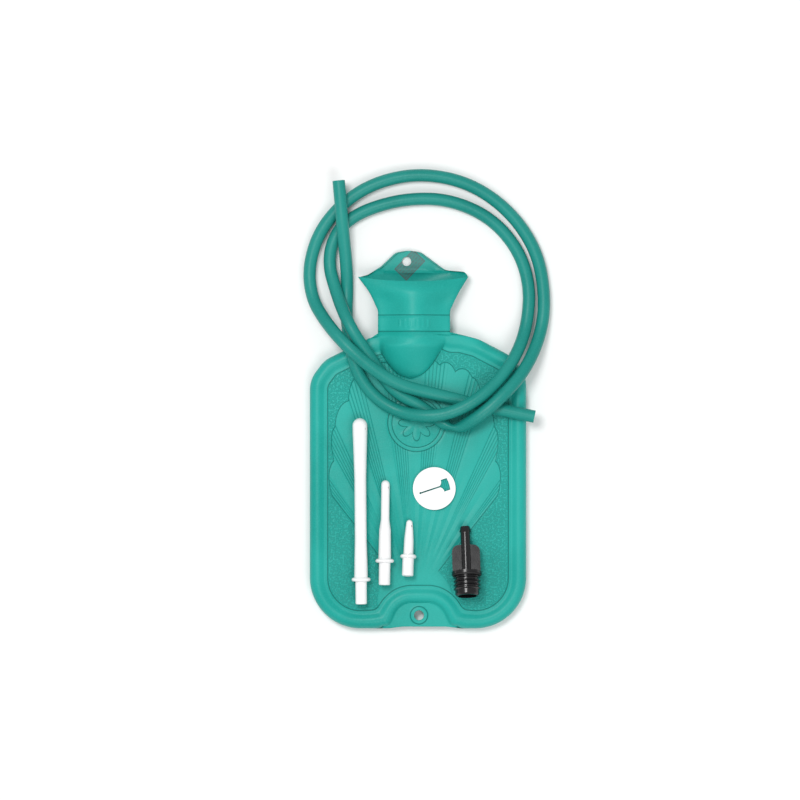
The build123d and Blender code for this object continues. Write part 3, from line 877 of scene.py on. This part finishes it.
# %% Plastics, brass and washer rubber
def plastic(name, colour, rough, coat, ripple):
    recipe = Recipe(name, Metallic=0.0, IOR=1.46, Coat_Weight=coat, Coat_Roughness=0.08)
    haze = recipe.noise(60, 2).ramp(0.3, 0.7)
    recipe.feed("Base Color", recipe.blend(haze, colour, tuple(c * 0.97 for c in colour)))
    recipe.feed("Roughness", rough + 0.05 * haze)
    recipe.bump(recipe.noise(150, 1), ripple)
    return recipe.material


white_plastic = plastic("white_plastic", (0.90, 0.905, 0.91), 0.24, 0.3, 0.00004)
black_plastic = plastic("black_plastic", (0.006, 0.006, 0.007), 0.20, 0.0, 0.00003)


def brass(name):
    recipe = Recipe(name, Metallic=1.0)
    tarnish = recipe.noise(220, 4).ramp(0.35, 0.75)
    recipe.feed("Base Color", recipe.blend(tarnish, (0.80, 0.58, 0.26), (0.55, 0.38, 0.16)))
    recipe.feed("Roughness", 0.24 + 0.18 * tarnish)
    return recipe.material


bushing_brass = brass("bushing_brass")
washer_rubber = rubber("washer_rubber", (0.018, 0.018, 0.019), (0.028, 0.028, 0.029), 0.5, 0.00005)
finishes = {
    "long_nozzle": white_plastic, "medium_nozzle": white_plastic, "short_nozzle": white_plastic,
    "pinch_clamp": white_plastic, "screw_stopper": black_plastic, "hose_adapter": black_plastic,
    "neck_bushing": bushing_brass, "stopper_washer": washer_rubber, "adapter_washer": washer_rubber,
}
for node, material in finishes.items():
    wear(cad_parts[node], material)
print("finished", len(finishes), "design pieces")

# %% [markdown]
# ## Floor and light
#
# A pale floor and soft light from large lamps: one broad lamp high at the upper left gives the
# soft sheen on the rubber, and a fill keeps the shadows thin. The floor is a plain sheet just
# under the bag.

# %% Floor
deselect_all()
bpy.ops.mesh.primitive_plane_add(size=6.0, location=(0, 0, -0.0005))
floor = bpy.context.active_object
floor.name = "floor"
floor_paint = bpy.data.materials.new("floor_paint")
floor_paint.use_nodes = True
floor_shader = floor_paint.node_tree.nodes["Principled BSDF"]
floor_shader.inputs["Base Color"].default_value = (0.9, 0.9, 0.9, 1)
floor_shader.inputs["Roughness"].default_value = 0.9
wear(floor, floor_paint)


# %% [markdown]
# Two disk lamps and an even sky. A disk lamp's shine on rubber has soft ends, as from a studio
# softbox, and the sky lifts the shadows so that the white floor stays white.

# %% Lamps and sky
def lamp(name, place, size, power):
    data = bpy.data.lights.new(name, "AREA")
    data.shape, data.size, data.energy = "DISK", size, power
    made = bpy.data.objects.new(name, data)
    made.location = place
    made.rotation_euler = (Vector((0, 0, 0)) - Vector(place)).to_track_quat("-Z", "Y").to_euler()
    bpy.context.scene.collection.objects.link(made)
    return made


key = lamp("key_lamp", (-0.5, 0.6, 2.2), 0.8, 27)
fill = lamp("fill_lamp", (0.5, -1.0, 1.9), 1.2, 13)
sky = bpy.data.worlds.new("sky")
sky.use_nodes = True
background = sky.node_tree.nodes["Background"]
background.inputs["Color"].default_value = (1, 1, 1, 1)
background.inputs["Strength"].default_value = 0.55
bpy.context.scene.world = sky
bpy.context.scene.view_settings.view_transform = "Standard"
print("floor, 2 lamps and a sky of strength", round(background.inputs["Strength"].default_value, 2))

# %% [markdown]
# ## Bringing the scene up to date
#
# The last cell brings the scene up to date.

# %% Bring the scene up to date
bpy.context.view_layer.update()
